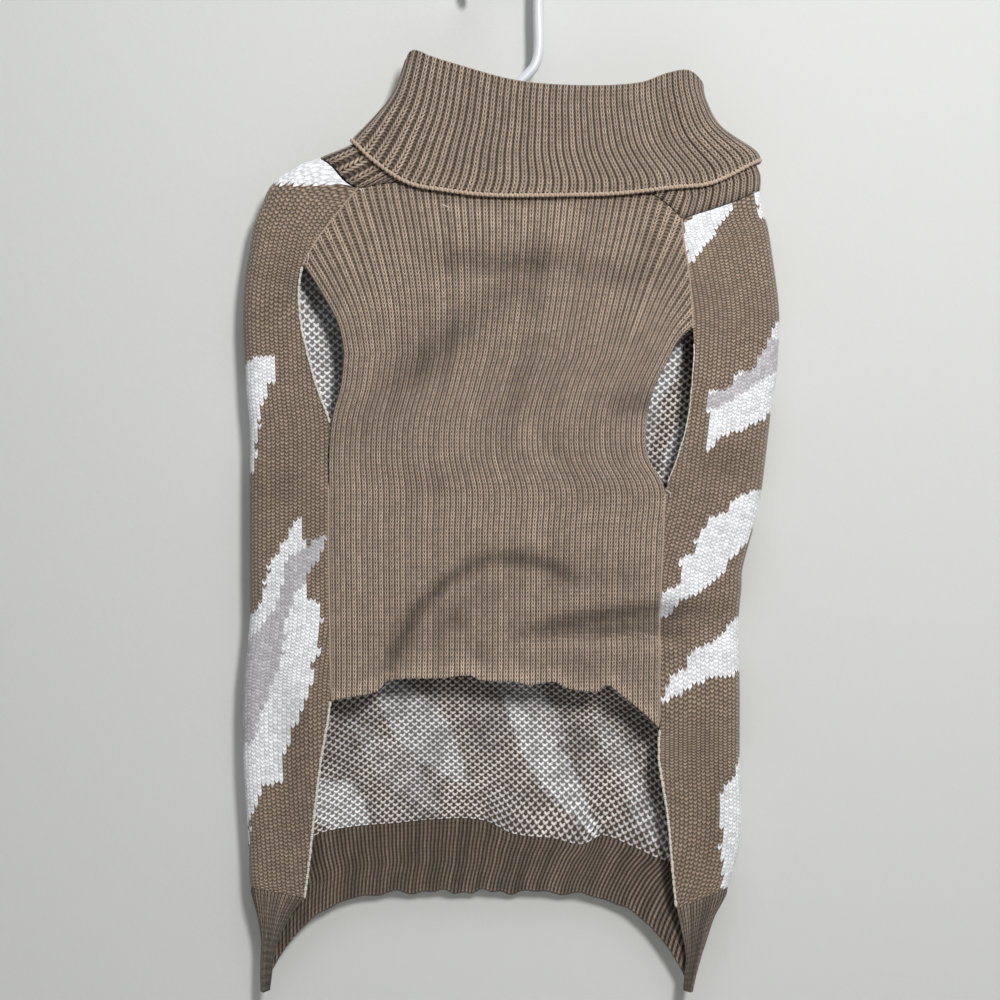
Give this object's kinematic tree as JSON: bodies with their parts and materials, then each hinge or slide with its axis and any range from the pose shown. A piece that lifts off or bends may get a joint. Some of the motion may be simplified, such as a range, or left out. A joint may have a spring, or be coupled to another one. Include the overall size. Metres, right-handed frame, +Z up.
{
  "type": "dog sweater on a hanger",
  "caption": "Sleeveless knitted dog sweater with a turned-down rib collar, leg holes, a short rib belly panel and a long patterned back, hanging flat on a plastic hanger.",
  "frame": {"origin": "inner top of the hanger's hook, where a rail or wall hook carries it", "axes": "+Z up; +X to the right for someone who faces the belly side; the belly side faces -Y and the back faces +Y, towards the wall"},
  "size_m": [0.3252, 0.0299, 0.638],
  "materials": {
    "jacquard_knit": "matte jersey knit in taupe, white and light grey",
    "rib_knit": "matte rib knit in taupe",
    "hanger_plastic": "smooth white plastic"
  },
  "bodies": {
    "root": {"back_panel": "jacquard_knit", "belly_panel": "rib_knit", "hem_band": "rib_knit", "collar": "rib_knit", "hanger": "hanger_plastic"}
  },
  "joints": []
}
